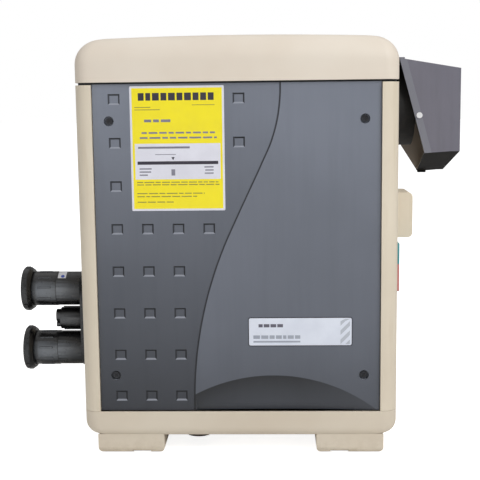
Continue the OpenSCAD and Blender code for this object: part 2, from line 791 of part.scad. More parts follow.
module union_body_high() union_body(pipe_z_high);
module union_body_low() union_body(pipe_z_low);
module tailpiece_high() tailpiece(pipe_z_high);
module tailpiece_low() tailpiece(pipe_z_low);
module union_nut_high() union_nut(pipe_z_high);
module union_nut_low() union_nut(pipe_z_low);

// ---- combustion and air ----

module chamber_stand() {
  color("#6d6f71") difference() {
    rod_z(drum_r - 8, floor_z, drum_z0, drum_x, drum_y);
    rod_z(drum_r - 12, floor_z - 1, drum_z0 + 1, drum_x, drum_y);
    for (a = [0:60:300]) translate([drum_x, drum_y, (floor_z + drum_z0) / 2 + 4]) rotate([90, 0, a])
      cylinder(r = 14, h = 2 * drum_r);
  }
}

module combustion_chamber() {
  wall = 3;
  color("#b0b2b3") difference() {
    rod_z(drum_r, drum_z0, drum_z1, drum_x, drum_y);
    rod_z(drum_r - wall, drum_z0 + wall, drum_z1 + 1, drum_x, drum_y);
    rod_x(duct_r + 0.5, drum_x + drum_r - 20, drum_x + drum_r + 5, flue_y, flue_low_z);
    block(drum_x - drum_r - 5, drum_x - drum_r + 30, pipe_y - 31, pipe_y + 31, 104, 296);
  }
}

module chamber_lid() {
  color("#9da0a2") difference() {
    rod_z(drum_r + 6, drum_z1, drum_z1 + 6, drum_x, drum_y);
    rod_z(52, drum_z1 - 1, drum_z1 + 7, drum_x, drum_y);
    rod_z(5.2, drum_z1 - 1, drum_z1 + 7, drum_x + 90, drum_y - 60);
  }
}

module lid_bolts() {
  color("#77797b") for (a = [22.5:45:360])
    rod_z(6, drum_z1 + 6, drum_z1 + 12, drum_x + (drum_r - 10) * cos(a), drum_y + (drum_r - 10) * sin(a));
}

// stacked copper water coils joined by a tube sheet that meets the water header
module heat_exchanger() {
  coil_r = 112;
  tube_r = 13;
  color("#a8683f") {
    for (z = [125:32:285]) translate([drum_x, drum_y, z]) rotate_extrude()
      translate([coil_r, 0]) circle(r = tube_r);
    block(drum_x - coil_r - 18, drum_x - coil_r + 8, pipe_y - 30, pipe_y + 60, 110, 300);
    block(-188, drum_x - coil_r - 10, pipe_y - 28, pipe_y + 28, 108, 284);
  }
}

module burner() {
  flange_z = drum_z1 + 6;
  color("#8c8f92") difference() {
    union() {
      rod_z(50, 190, flange_z + 3, drum_x, drum_y);
      rod_z(66, flange_z, flange_z + 3, drum_x, drum_y);
    }
    rod_z(48, 193, flange_z + 4, drum_x, drum_y);
    for (row = [0:3], a = [0:45:315]) translate([drum_x, drum_y, 225 + 50 * row]) rotate([90, 0, a])
      cylinder(r = 4, h = 60);
  }
}

blower_z0 = drum_z1 + 9;
blower_z1 = blower_z0 + 72;

module blower_housing() {
  wall = 3;
  color("#c3c5c6") difference() {
    union() {
      rod_z(96, blower_z0, blower_z1, drum_x, drum_y);
      rod_y(30, drum_y, duct_end_y, drum_x - 50, blower_z0 + 40);
    }
    rod_z(96 - wall, blower_z0 + wall, blower_z1 - wall, drum_x, drum_y);
    rod_y(26, drum_y, duct_end_y + 1, drum_x - 50, blower_z0 + 40);
    rod_z(46, blower_z0 - 1, blower_z0 + wall + 1, drum_x, drum_y);
    rod_z(8, blower_z1 - wall - 1, blower_z1 + 1, drum_x, drum_y);
  }
}

module impeller() {
  z0 = blower_z0 + 12;
  blade_h = 44;
  color("#54575a") {
    rod_z(78, z0 + blade_h, z0 + blade_h + 3, drum_x, drum_y);
    rod_z(14, z0 + 10, z0 + blade_h + 1, drum_x, drum_y);
    rod_z(4, z0 + 5, blower_z1 + 16, drum_x, drum_y);
    for (a = [0:30:330]) translate([drum_x, drum_y, z0]) rotate([0, 0, a])
      translate([50, -1.2, 0]) rotate([0, 0, 25]) cube([24, 2.4, blade_h + 1]);
  }
}

module blower_motor() {
  color("#3c3e41") difference() {
    union() {
      rod_z(46, blower_z1, blower_z1 + 52, drum_x, drum_y);
      rod_z(54, blower_z1, blower_z1 + 4, drum_x, drum_y);
    }
    rod_z(4.05, blower_z1 - 1, blower_z1 + 22, drum_x, drum_y);
  }
}

// elbow that mixes gas into the blower's air
module air_mixer() {
  mix_x = drum_x - 50;
  mix_z = blower_z0 + 40;
  color("#b6b8b9") difference() {
    union() {
      rod_y(34, duct_end_y, mixer_y, mix_x, mix_z);
      rod_z(34, mix_z - 110, mix_z, mix_x, mixer_y);
      translate([mix_x, mixer_y, mix_z]) sphere(r = 34);
      rod_x(12, mix_x, valve_x - 30.5, mixer_y, mix_z - 80);
    }
    rod_y(28, duct_end_y - 1, mixer_y, mix_x, mix_z);
    rod_z(28, mix_z - 111, mix_z, mix_x, mixer_y);
    rod_x(8, mix_x, valve_x, mixer_y, mix_z - 80);
  }
}

valve_y = mixer_y;
valve_z = blower_z0 + 40 - 80;

module gas_valve() {
  color("#a5a7a9") difference() {
    union() {
      block(valve_x - 30, valve_x + 30, valve_y - 28, valve_y + 28, valve_z - 34, valve_z + 30);
      rod_z(20, valve_z + 29, valve_z + 40, valve_x + 4, valve_y);
    }
    rod_x(8, valve_x - 31, valve_x - 10, valve_y, valve_z);
    rod_z(3.05, valve_z + 28, valve_z + 41, valve_x + 4, valve_y);
  }
}

module gas_knob() {
  color("#1f2a56") {
    rod_z(14, valve_z + 40.4, valve_z + 54, valve_x + 4, valve_y);
    rod_z(3, valve_z + 30, valve_z + 41, valve_x + 4, valve_y);
    block(valve_x + 4 - 12, valve_x + 4 + 12, valve_y - 2.5, valve_y + 2.5, valve_z + 53, valve_z + 60);
  }
}

// steel pipe from the inlet coupling up to the underside of the valve
module gas_pipe() {
  bend = 30;
  pipe_r = 10;
  color("#2e2e30") {
    rod_x(pipe_r, valve_x + bend, half_w - 22, gas_y, gas_z);
    translate([valve_x + bend, gas_y, gas_z + bend]) rotate([90, 0, 0]) rotate([0, 0, 180])
      rotate_extrude(angle = 90) translate([bend, 0]) circle(r = pipe_r);
    rod_z(pipe_r, gas_z + bend, valve_z - 90, valve_x, gas_y);
    translate([valve_x, gas_y, valve_z - 90]) sphere(r = pipe_r);
    translate([valve_x, valve_y, valve_z - 90]) sphere(r = pipe_r);
    rod_y(pipe_r, valve_y, gas_y, valve_x, valve_z - 90);
    rod_z(pipe_r, valve_z - 90, valve_z - 34, valve_x, valve_y);
  }
}

// hexagonal inlet coupling through the right side panel
module gas_inlet() {
  color("#9b7b3c") difference() {
    union() {
      rod_x(14.5, half_w - 22, half_w + 4, gas_y, gas_z);
      translate([half_w + 0.5, gas_y, gas_z]) rotate([0, 90, 0]) cylinder(r = 20, h = 20, $fn = 6);
    }
    rod_x(12, half_w + 0.5, half_w + 21, gas_y, gas_z);
    rod_x(8, half_w - 23, half_w + 2, gas_y, gas_z);
  }
}

module igniter() {
  color("#d8d4c8") {
    rod_z(5, drum_z1 - 60, drum_z1 + 20, drum_x + 90, drum_y - 60);
    rod_z(9, drum_z1 + 6, drum_z1 + 14, drum_x + 90, drum_y - 60);
  }
}

// air pressure switch hung on the front of the left rear rail
module pressure_switch() {
  color("#4a4c50") {
    rod_y(32, 240, 262, -120, 520);
    rod_y(6, 232, 241, -120, 520);
    block(-150, -90, 262, -frame_y0 - 2, 512, 528);
    block(-150, -90, -frame_y0 - 4, -frame_y0 - 2, 512, side_top - 6);
  }
}

module transformer() {
  color("#7d6a4f") {
    block(150, 194, -315, -262, 380, 436);
    block(180, frame_x0, -316, -312, 370, 446);
    rod_x(7, 194, 200, -285, lead_z);
  }
}

// three-core lead from the junction box to the transformer
module power_lead() {
  color("#1d1d1f") {
    rod_x(4, 200, 232, -285, lead_z);
    translate([232, -270, lead_z]) rotate([0, 0, -90]) rotate_extrude(angle = 90)
      translate([15, 0]) circle(r = 4);
    rod_y(4, -270, jbox_y - 15, 247, lead_z);
    translate([262, jbox_y - 15, lead_z]) rotate([0, 0, 90]) rotate_extrude(angle = 90)
      translate([15, 0]) circle(r = 4);
    rod_x(4, 262, half_w + 4, jbox_y, lead_z);
  }
}

// electrical box on the right side, open to the cabinet, conduit hole in its underside
module junction_box() {
  wall = 2;
  box_d = 80;
  box_h = jbox_z1 - jbox_z0;
  mid_x = (half_w + gap + jbox_x) / 2;
  box_t = jbox_x - half_w - gap;
  color("#dacebc") difference() {
    intersection() {
      plate_xz(jbox_y - box_d / 2, jbox_y + box_d / 2) translate([mid_x - 8, lead_z])
        rounded_rect(box_t + 16, box_h, 8);
      block(half_w + gap, jbox_x, jbox_y - box_d / 2, jbox_y + box_d / 2, jbox_z0, jbox_z1);
    }
    block(half_w, jbox_x - wall, jbox_y - box_d / 2 + wall, jbox_y + box_d / 2 - wall,
      jbox_z0 + wall + 5, jbox_z1 - wall - 5);
    rod_z(11, jbox_z0 - 1, jbox_z0 + 10, half_w + 19, jbox_y);
  }
}

// low pad behind the right front post that carries two instruction labels
module label_pad() {
  color("#4f9aa0") block(half_w + gap, half_w + 5.6, -half_d + 44, -half_d + 156, 273, 356);
}

base_tray();
foot_front_left();
foot_front_right();
foot_rear_left();
foot_rear_right();
base_drain();
cabinet_frame();
side_panel_left();
side_panel_right();
rear_panel();
rear_screws();
front_panel();
front_screws();
nameplate();
warning_label();
top_cover();
control_bezel();
display_window();
control_board();
control_cover();
cover_hinge_pin();
button_1();
button_2();
button_3();
button_4();
button_5();
button_6();
flue_collar();
exhaust_hood();
hood_screws();
flue_duct();
water_header();
header_bolts();
bypass_cap();
union_body_high();
union_body_low();
tailpiece_high();
tailpiece_low();
union_nut_high();
union_nut_low();
chamber_stand();
combustion_chamber();
chamber_lid();
lid_bolts();
heat_exchanger();
burner();
blower_housing();
impeller();
blower_motor();
air_mixer();
gas_valve();
gas_knob();
gas_pipe();
gas_inlet();
igniter();
pressure_switch();
transformer();
power_lead();
junction_box();
label_pad();
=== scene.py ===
import json
import math
import random

import bmesh
import bpy
from mathutils import Matrix, Vector


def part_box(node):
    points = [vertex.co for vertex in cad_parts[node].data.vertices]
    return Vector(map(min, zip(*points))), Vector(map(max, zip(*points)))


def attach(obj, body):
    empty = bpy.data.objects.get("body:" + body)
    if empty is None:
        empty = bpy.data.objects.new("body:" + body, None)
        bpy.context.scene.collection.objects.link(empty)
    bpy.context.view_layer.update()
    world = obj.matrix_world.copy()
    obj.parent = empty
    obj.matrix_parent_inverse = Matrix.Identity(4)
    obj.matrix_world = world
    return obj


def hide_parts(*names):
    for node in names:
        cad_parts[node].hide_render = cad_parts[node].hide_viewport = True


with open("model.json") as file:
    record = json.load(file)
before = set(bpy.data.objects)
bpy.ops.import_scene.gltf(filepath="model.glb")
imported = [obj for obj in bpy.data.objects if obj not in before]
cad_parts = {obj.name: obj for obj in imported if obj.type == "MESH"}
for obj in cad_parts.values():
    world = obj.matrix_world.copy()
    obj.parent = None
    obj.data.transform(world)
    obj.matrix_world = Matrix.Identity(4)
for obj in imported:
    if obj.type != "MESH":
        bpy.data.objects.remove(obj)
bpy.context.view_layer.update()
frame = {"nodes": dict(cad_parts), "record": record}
random.seed(7)

MM = 0.001
cover_lo, cover_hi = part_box("top_cover")
base_lo, base_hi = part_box("base_tray")
label_lo, label_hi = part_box("warning_label")
plate_lo, plate_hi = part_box("nameplate")
pad_lo, pad_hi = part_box("label_pad")
bezel_lo, bezel_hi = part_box("control_bezel")
collar_lo, collar_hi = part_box("flue_collar")
hood_lo, hood_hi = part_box("exhaust_hood")
pipe_lo, pipe_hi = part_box("union_body_high")


# ---------------------------------------------------------------- colour and node helpers

def linear(hex_colour):
    """Linear RGBA from a hex colour."""
    h = hex_colour.lstrip("#")
    out = []
    for i in (0, 2, 4):
        c = int(h[i:i + 2], 16) / 255
        out.append(c / 12.92 if c <= 0.04045 else ((c + 0.055) / 1.055) ** 2.4)
    return (*out, 1.0)


class Shader:
    """A node tree with one Principled shader, built from procedural textures in object space."""

    def __init__(self, name):
        self.mat = bpy.data.materials.new(name)
        self.mat.use_nodes = True
        self.tree = self.mat.node_tree
        self.tree.nodes.clear()
        out = self.add("ShaderNodeOutputMaterial")
        self.bsdf = self.add("ShaderNodeBsdfPrincipled")
        self.tree.links.new(self.bsdf.outputs[0], out.inputs[0])
        self.coords = self.add("ShaderNodeTexCoord").outputs["Object"]
        self.height = None

    def add(self, kind, **props):
        node = self.tree.nodes.new(kind)
        for k, v in props.items():
            setattr(node, k, v)
        return node

    def link(self, a, b):
        self.tree.links.new(a, b)

    def noise(self, scale, detail=4.0, rough=0.55, stretch=None):
        n = self.add("ShaderNodeTexNoise")
        n.inputs["Scale"].default_value = scale
        n.inputs["Detail"].default_value = detail
        n.inputs["Roughness"].default_value = rough
        vec = self.coords
        if stretch:
            m = self.add("ShaderNodeMapping")
            m.inputs["Scale"].default_value = stretch
            self.link(self.coords, m.inputs["Vector"])
            vec = m.outputs[0]
        self.link(vec, n.inputs["Vector"])
        return n.outputs["Fac"]

    def ramp(self, value, lo, hi, out_lo=0.0, out_hi=1.0):
        r = self.add("ShaderNodeMapRange")
        r.inputs["From Min"].default_value = lo
        r.inputs["From Max"].default_value = hi
        r.inputs["To Min"].default_value = out_lo
        r.inputs["To Max"].default_value = out_hi
        self.link(value, r.inputs["Value"])
        return r.outputs[0]

    def math(self, op, a, b):
        m = self.add("ShaderNodeMath", operation=op)
        for i, v in enumerate((a, b)):
            if isinstance(v, (int, float)):
                m.inputs[i].default_value = v
            else:
                self.link(v, m.inputs[i])
        return m.outputs[0]

    def mix(self, factor, a, b):
        m = self.add("ShaderNodeMix", data_type="RGBA")
        self.link(factor, m.inputs["Factor"])
        for sock, v in ((m.inputs[6], a), (m.inputs[7], b)):
            if isinstance(v, tuple):
                sock.default_value = v
            else:
                self.link(v, sock)
        return m.outputs[2]

    def axis(self, which):
        s = self.add("ShaderNodeSeparateXYZ")
        self.link(self.coords, s.inputs[0])
        return s.outputs[which]

    def facing(self, which):
        """One component of the surface normal, in world space."""
        g = self.add("ShaderNodeNewGeometry")
        s = self.add("ShaderNodeSeparateXYZ")
        self.link(g.outputs["Normal"], s.inputs[0])
        return s.outputs[which]

    def curve(self, value, points):
        """Smooth curve through points, each (input, output), both between 0 and 1."""
        c = self.add("ShaderNodeFloatCurve")
        track = c.mapping.curves[0]
        track.points[0].location = points[0]
        track.points[1].location = points[-1]
        for p in points[1:-1]:
            track.points.new(*p)
        c.mapping.update()
        self.link(value, c.inputs["Value"])
        return c.outputs[0]

    def bump(self, height, strength, distance):
        b = self.add("ShaderNodeBump")
        b.inputs["Strength"].default_value = strength
        b.inputs["Distance"].default_value = distance
        self.link(height, b.inputs["Height"])
        if self.height is not None:
            self.link(self.height, b.inputs["Normal"])
        self.height = b.outputs[0]
        self.link(self.height, self.bsdf.inputs["Normal"])

    def colour(self, socket):
        self.link(socket, self.bsdf.inputs["Base Color"])

    def roughness(self, socket):
        self.link(socket, self.bsdf.inputs["Roughness"])

    def metal(self, amount):
        self.bsdf.inputs["Metallic"].default_value = amount

    def gloss(self, specular=0.5, coat=0.0, coat_rough=0.2):
        self.bsdf.inputs["Specular IOR Level"].default_value = specular
        self.bsdf.inputs["Coat Weight"].default_value = coat
        self.bsdf.inputs["Coat Roughness"].default_value = coat_rough


# ---------------------------------------------------------------- materials

def moulded_plastic(name, light, shade, dirt, rough=0.5, grain=900, bump=0.12, dirt_top=0.12):
    """Textured moulded plastic: soft cloudy tone, fine grain, dust gathering low down."""
    s = Shader(name)
    cloud = s.ramp(s.noise(5, 3), 0.35, 0.68)
    base = s.mix(cloud, linear(light), linear(shade))
    low = s.ramp(s.axis(2), 0.0, dirt_top, 0.45, 0.0)
    speck = s.ramp(s.noise(60, 6, 0.7), 0.45, 0.75)
    s.colour(s.mix(s.math("MULTIPLY", low, speck), base, linear(dirt)))
    s.roughness(s.ramp(s.noise(35, 4), 0.3, 0.7, rough - 0.07, rough + 0.09))
    s.bump(s.noise(grain, 2), bump, 0.0004)
    s.gloss(0.4)
    return s.mat


def powder_coat(name, light, shade, rough=0.42, streak=None, bump=0.1, coat=0.0):
    """Powder coat on sheet metal: orange-peel, faint streaks where rain has run."""
    s = Shader(name)
    cloud = s.ramp(s.noise(4, 3), 0.35, 0.68)
    base = s.mix(cloud, linear(light), linear(shade))
    runs = s.ramp(s.noise(16, 5, 0.6, stretch=(5.0, 5.0, 0.35)), 0.5, 0.8, 0.0, 0.5)
    base = s.mix(runs, base, linear(streak or shade))
    s.colour(base)
    s.roughness(s.ramp(s.noise(22, 4), 0.3, 0.7, rough - 0.06, rough + 0.1))
    s.bump(s.noise(420, 2), bump, 0.0003)
    s.gloss(0.45, coat, 0.25)
    return s.mat


def crease_place(z):
    """Where the front panel's S-shaped crease runs at a height, both in millimetres."""
    lean, top_r, low_r = math.radians(24.5), 250, 700
    top_x, low_x, top_z, low_z = 71, -77, 617, 90
    arc_top, arc_low = top_z - top_r * math.sin(lean), low_z + low_r * math.sin(lean)
    x_top = top_x - top_r * (1 - math.cos(lean))
    x_low = low_x + low_r * (1 - math.cos(lean))
    if z >= top_z:
        return top_x
    if z > arc_top:
        return top_x - top_r + math.sqrt(top_r ** 2 - (top_z - z) ** 2)
    if z > arc_low:
        return x_low + (x_top - x_low) * (z - arc_low) / (arc_top - arc_low)
    if z > low_z:
        return low_x + low_r - math.sqrt(low_r ** 2 - (z - low_z) ** 2)
    return low_x


def front_coat(name):
    """Dark panel paint with painted shade: darker towards the foot; on the front panel also darker left
    of the crease (with painted light towards its upper left), dark along the crease and inside the
    scoop. Dimple walls get painted light and shade by the way they face. The crease and scoop marks
    are on the front panel only."""
    s = Shader(name)
    x, z = s.axis(0), s.axis(2)
    front = s.ramp(s.axis(1), 0.0, 0.001, 1.0, 0.0)
    cloud = s.ramp(s.noise(3.2, 3), 0.35, 0.7)
    base = s.mix(cloud, linear("#8d93a1"), linear("#838996"))
    runs = s.ramp(s.noise(14, 5, 0.6, stretch=(5.0, 5.0, 0.3)), 0.45, 0.85, 0.0, 0.35)
    base = s.mix(runs, base, linear("#787e8b"))
    z_lo, z_hi, x_lo, x_hi = 0.06, 0.64, -0.12, 0.12
    steps = 12
    points = []
    for i in range(steps + 1):
        place = crease_place(1000 * (z_lo + (z_hi - z_lo) * i / steps)) / 1000
        points.append((i / steps, (place - x_lo) / (x_hi - x_lo)))
    across = s.ramp(x, x_lo, x_hi)
    up = s.ramp(z, z_lo, z_hi)
    offset = s.math("SUBTRACT", s.curve(up, points), across)
    left = s.math("MULTIPLY", front, s.ramp(offset, -0.004, 0.004, 0.0, 1.0))
    # Painted shade: the panel darkens towards the foot, and more so left of the crease.
    right_painted_shading = s.curve(up, [(0.0, 0.33), (0.1, 0.38), (0.22, 0.48), (0.38, 0.56), (0.6, 0.60),
                              (0.85, 0.71), (1.0, 0.77)])
    left_painted_shading = s.curve(up, [(0.0, 0.14), (0.1, 0.185), (0.25, 0.28), (0.42, 0.37), (0.6, 0.47),
                             (0.85, 0.65), (1.0, 0.74)])
    # Painted light: lighter towards the upper left of the front panel.
    corner = s.math("MULTIPLY", s.ramp(x, -0.05, -0.23), s.ramp(z, 0.30, 0.60, 0.0, 0.18))
    left_painted_shading = s.math("ADD", left_painted_shading, corner)
    tone = s.math("ADD", s.math("MULTIPLY", left, left_painted_shading),
                  s.math("MULTIPLY", s.math("SUBTRACT", 1.0, left), right_painted_shading))
    base = s.mix(tone, linear("#000001"), base)
    # Painted shade: a dark line along the crease groove.
    crease_painted_shade = s.ramp(s.math("ABSOLUTE", s.math("ADD", offset, 0.003), 0.0), 0.003, 0.007, 0.85, 0.0)
    base = s.mix(s.math("MULTIPLY", crease_painted_shade, front), base, linear("#17181b"))
    # Painted shade inside the scoop: darkest under its arch, fading downwards and towards the right.
    scoop_x, scoop_top, scoop_r = 0.057, 0.137, 0.283
    dx = s.math("SUBTRACT", x, scoop_x)
    dz = s.math("SUBTRACT", z, scoop_top - scoop_r)
    far = s.math("SQRT", s.math("ADD", s.math("MULTIPLY", dx, dx), s.math("MULTIPLY", dz, dz)), 0.0)
    dip = s.ramp(far, scoop_r - 0.0005, scoop_r + 0.0005, 1.0, 0.0)
    deep = s.math("MULTIPLY", dip, s.math("SUBTRACT", front, left))
    rise = s.ramp(far, 0.215, 0.2825, 0.25, 0.92)
    fade = s.ramp(x, 0.10, 0.23, 1.0, 0.45)
    base = s.mix(s.math("MULTIPLY", s.math("MULTIPLY", deep, rise), fade), base, linear("#1d1e20"))
    # Painted light and shade by the way a face points: lighter facing up, darker facing down or sideways.
    base = s.mix(s.ramp(s.facing(2), 0.12, 0.5, 0.0, 0.6), base, linear("#a9adb8"))
    base = s.mix(s.ramp(s.facing(2), -0.2, -0.6, 0.0, 0.92), base, linear("#111315"))
    base = s.mix(s.ramp(s.facing(0), -0.25, -0.6, 0.0, 0.85), base, linear("#191b1e"))
    base = s.mix(s.ramp(s.facing(0), 0.25, 0.6, 0.0, 0.8), base, linear("#1c1e22"))
    s.colour(base)
    s.roughness(s.ramp(s.noise(20, 4), 0.3, 0.7, 0.34, 0.48))
    s.bump(s.noise(480, 2), 0.08, 0.0003)
    s.gloss(0.45)
    return s.mat


def hood_coat(name):
    """Grey powder coat with a painted highlight on its folded front edge, and painted shade, near black
    and matt, on faces that look down and along the bottom edge.
    """
    s = Shader(name)
    base = s.mix(s.ramp(s.noise(4, 3), 0.35, 0.68), linear("#767580"), linear("#6e6d78"))
    runs = s.ramp(s.noise(16, 5, 0.6, stretch=(5.0, 5.0, 0.35)), 0.5, 0.8, 0.0, 0.4)
    base = s.mix(runs, base, linear("#64636c"))
    # Painted highlight on the folded front edge.
    fold_painted_highlight = s.ramp(s.axis(1), hood_lo.y + 0.0001, hood_lo.y + 0.0005, 0.5, 0.0)
    base = s.mix(fold_painted_highlight, base, linear("#878a92"))
    far_cheek = s.ramp(s.axis(1), hood_hi.y - 0.02, hood_hi.y - 0.01)
    inside = s.math("MULTIPLY", s.ramp(s.facing(1), -0.3, -0.6), far_cheek)
    base = s.mix(inside, base, linear("#a0958a"))
    # Painted shade: near black along the bottom edge and on faces that look down, which are also made matt.
    tab = s.ramp(s.axis(2), hood_lo.z + 0.0055, hood_lo.z + 0.0065, 1.0, 0.0)
    down = s.math("MAXIMUM", tab, s.ramp(s.facing(2), -0.2, -0.6))
    base = s.mix(down, base, linear("#0c0b0b"))
    s.colour(base)
    rough = s.ramp(s.noise(22, 4), 0.3, 0.7, 0.36, 0.52)
    s.roughness(s.math("MAXIMUM", rough, s.math("MULTIPLY", down, 0.9)))
    s.bump(s.noise(420, 2), 0.1, 0.0003)
    s.gloss(0.3)
    return s.mat


def bare_metal(name, light, shade, rough=0.35, stretch=(1.0, 1.0, 12.0), tarnish=None, amount=1.0):
    """Bare or plated metal with drawn lines and patches of tarnish."""
    s = Shader(name)
    patch = s.ramp(s.noise(18, 5, 0.6), 0.4, 0.7)
    base = s.mix(patch, linear(light), linear(shade))
    if tarnish:
        base = s.mix(s.ramp(s.noise(40, 6, 0.7), 0.52, 0.78, 0.0, 0.8), base, linear(tarnish))
    s.colour(base)
    lines = s.noise(140, 3, 0.6, stretch=stretch)
    s.roughness(s.ramp(lines, 0.3, 0.7, rough - 0.1, rough + 0.12))
    s.bump(lines, 0.1, 0.0002)
    s.metal(amount)
    return s.mat


def bright_zinc(name):
    """Pale zinc plate, dulled so that it scatters light more than it mirrors; its near-white colour is partly
    a painted highlight for the screw's glint.
    """
    s = Shader(name)
    s.colour(s.mix(s.ramp(s.noise(60, 4), 0.35, 0.7), linear("#f4f5f7"), linear("#dcdee2")))
    s.roughness(s.ramp(s.noise(90, 3), 0.3, 0.7, 0.32, 0.5))
    s.bump(s.noise(300, 2), 0.08, 0.0002)
    s.metal(0.25)
    return s.mat


def zinc_spangle(name):
    """Galvanised sheet with a crystalline spangle."""
    s = Shader(name)
    v = s.add("ShaderNodeTexVoronoi")
    v.inputs["Scale"].default_value = 90
    s.link(s.coords, v.inputs["Vector"])
    grey = s.add("ShaderNodeRGBToBW")
    s.link(v.outputs["Color"], grey.inputs[0])
    s.colour(s.mix(s.ramp(grey.outputs[0], 0.2, 0.8), linear("#8e9294"), linear("#b4b8ba")))
    s.roughness(s.ramp(grey.outputs[0], 0.2, 0.8, 0.32, 0.5))
    s.metal(0.9)
    return s.mat


def black_plastic(name, light="#2c2c2f", shade="#232325", dust="#55534f", rough=0.38):
    """Black glass-filled plastic with flow clouding and dust on it."""
    s = Shader(name)
    base = s.mix(s.ramp(s.noise(22, 4), 0.35, 0.7), linear(light), linear(shade))
    base = s.mix(s.ramp(s.noise(70, 6, 0.7), 0.58, 0.85, 0.0, 0.35), base, linear(dust))
    s.colour(base)
    s.roughness(s.ramp(s.noise(45, 4), 0.3, 0.7, rough - 0.08, rough + 0.1))
    s.bump(s.noise(700, 2), 0.1, 0.0003)
    s.gloss(0.5)
    return s.mat


def black_with_painted_highlight(name, face, rim, dust="#8a8b8c", rough=0.27):
    """Black pipe plastic with a painted highlight where it faces the front; it stays deep black at the
    rims and on the union's end ring, with painted shade close to the cabinet wall."""
    s = Shader(name)
    # Painted highlight: paler where the surface faces the front.
    out = s.ramp(s.facing(1), -0.78, -1.0)
    base = s.mix(out, linear(rim), linear(face))
    base = s.mix(s.ramp(s.noise(28, 4), 0.35, 0.75, 0.0, 0.35), base, linear(rim))
    base = s.mix(s.ramp(s.noise(70, 6, 0.7), 0.6, 0.85, 0.0, 0.3), base, linear(dust))
    # The painted highlight is held back on the union's end ring; painted shade darkens the pipe near the
    # cabinet wall.
    end_ring, wall_end = -0.409, -0.320
    by_ring = s.ramp(s.axis(0), end_ring - 0.002, end_ring + 0.002, 0.62, 0.0)
    wall_painted_shade = s.ramp(s.axis(0), wall_end - 0.040, wall_end, 0.0, 0.75)
    base = s.mix(s.math("MAXIMUM", by_ring, wall_painted_shade), base, linear(rim))
    s.colour(base)
    s.roughness(s.ramp(s.noise(45, 4), 0.3, 0.7, rough - 0.06, rough + 0.09))
    s.bump(s.noise(600, 2), 0.08, 0.0003)
    s.gloss(0.5, 0.1, 0.2)
    return s.mat


def printed(name, ink, fade, rough=0.4):
    """Printed film: even ink, slightly faded in patches."""
    s = Shader(name)
    s.colour(s.mix(s.ramp(s.noise(26, 4), 0.35, 0.75), linear(ink), linear(fade)))
    s.roughness(s.ramp(s.noise(80, 3), 0.3, 0.7, rough - 0.06, rough + 0.08))
    s.bump(s.noise(120, 2), 0.05, 0.0002)
    return s.mat


def window_glass(name):
    """Tinted display window."""
    s = Shader(name)
    s.colour(s.mix(s.ramp(s.noise(40, 3), 0.3, 0.7), linear("#31453b"), linear("#28392f")))
    s.roughness(s.ramp(s.noise(60, 3), 0.3, 0.7, 0.06, 0.14))
    s.gloss(0.6, 0.6, 0.05)
    return s.mat


def circuit(name):
    """Solder-masked circuit board with a tracery of copper."""
    s = Shader(name)
    b = s.add("ShaderNodeTexBrick")
    b.inputs["Scale"].default_value = 60
    b.inputs["Color1"].default_value = linear("#245234")
    b.inputs["Color2"].default_value = linear("#2c6240")
    b.inputs["Mortar"].default_value = linear("#4b8a55")
    b.inputs["Mortar Size"].default_value = 0.03
    s.link(s.coords, b.inputs["Vector"])
    s.colour(b.outputs["Color"])
    s.roughness(s.ramp(s.noise(50, 3), 0.3, 0.7, 0.3, 0.42))
    return s.mat


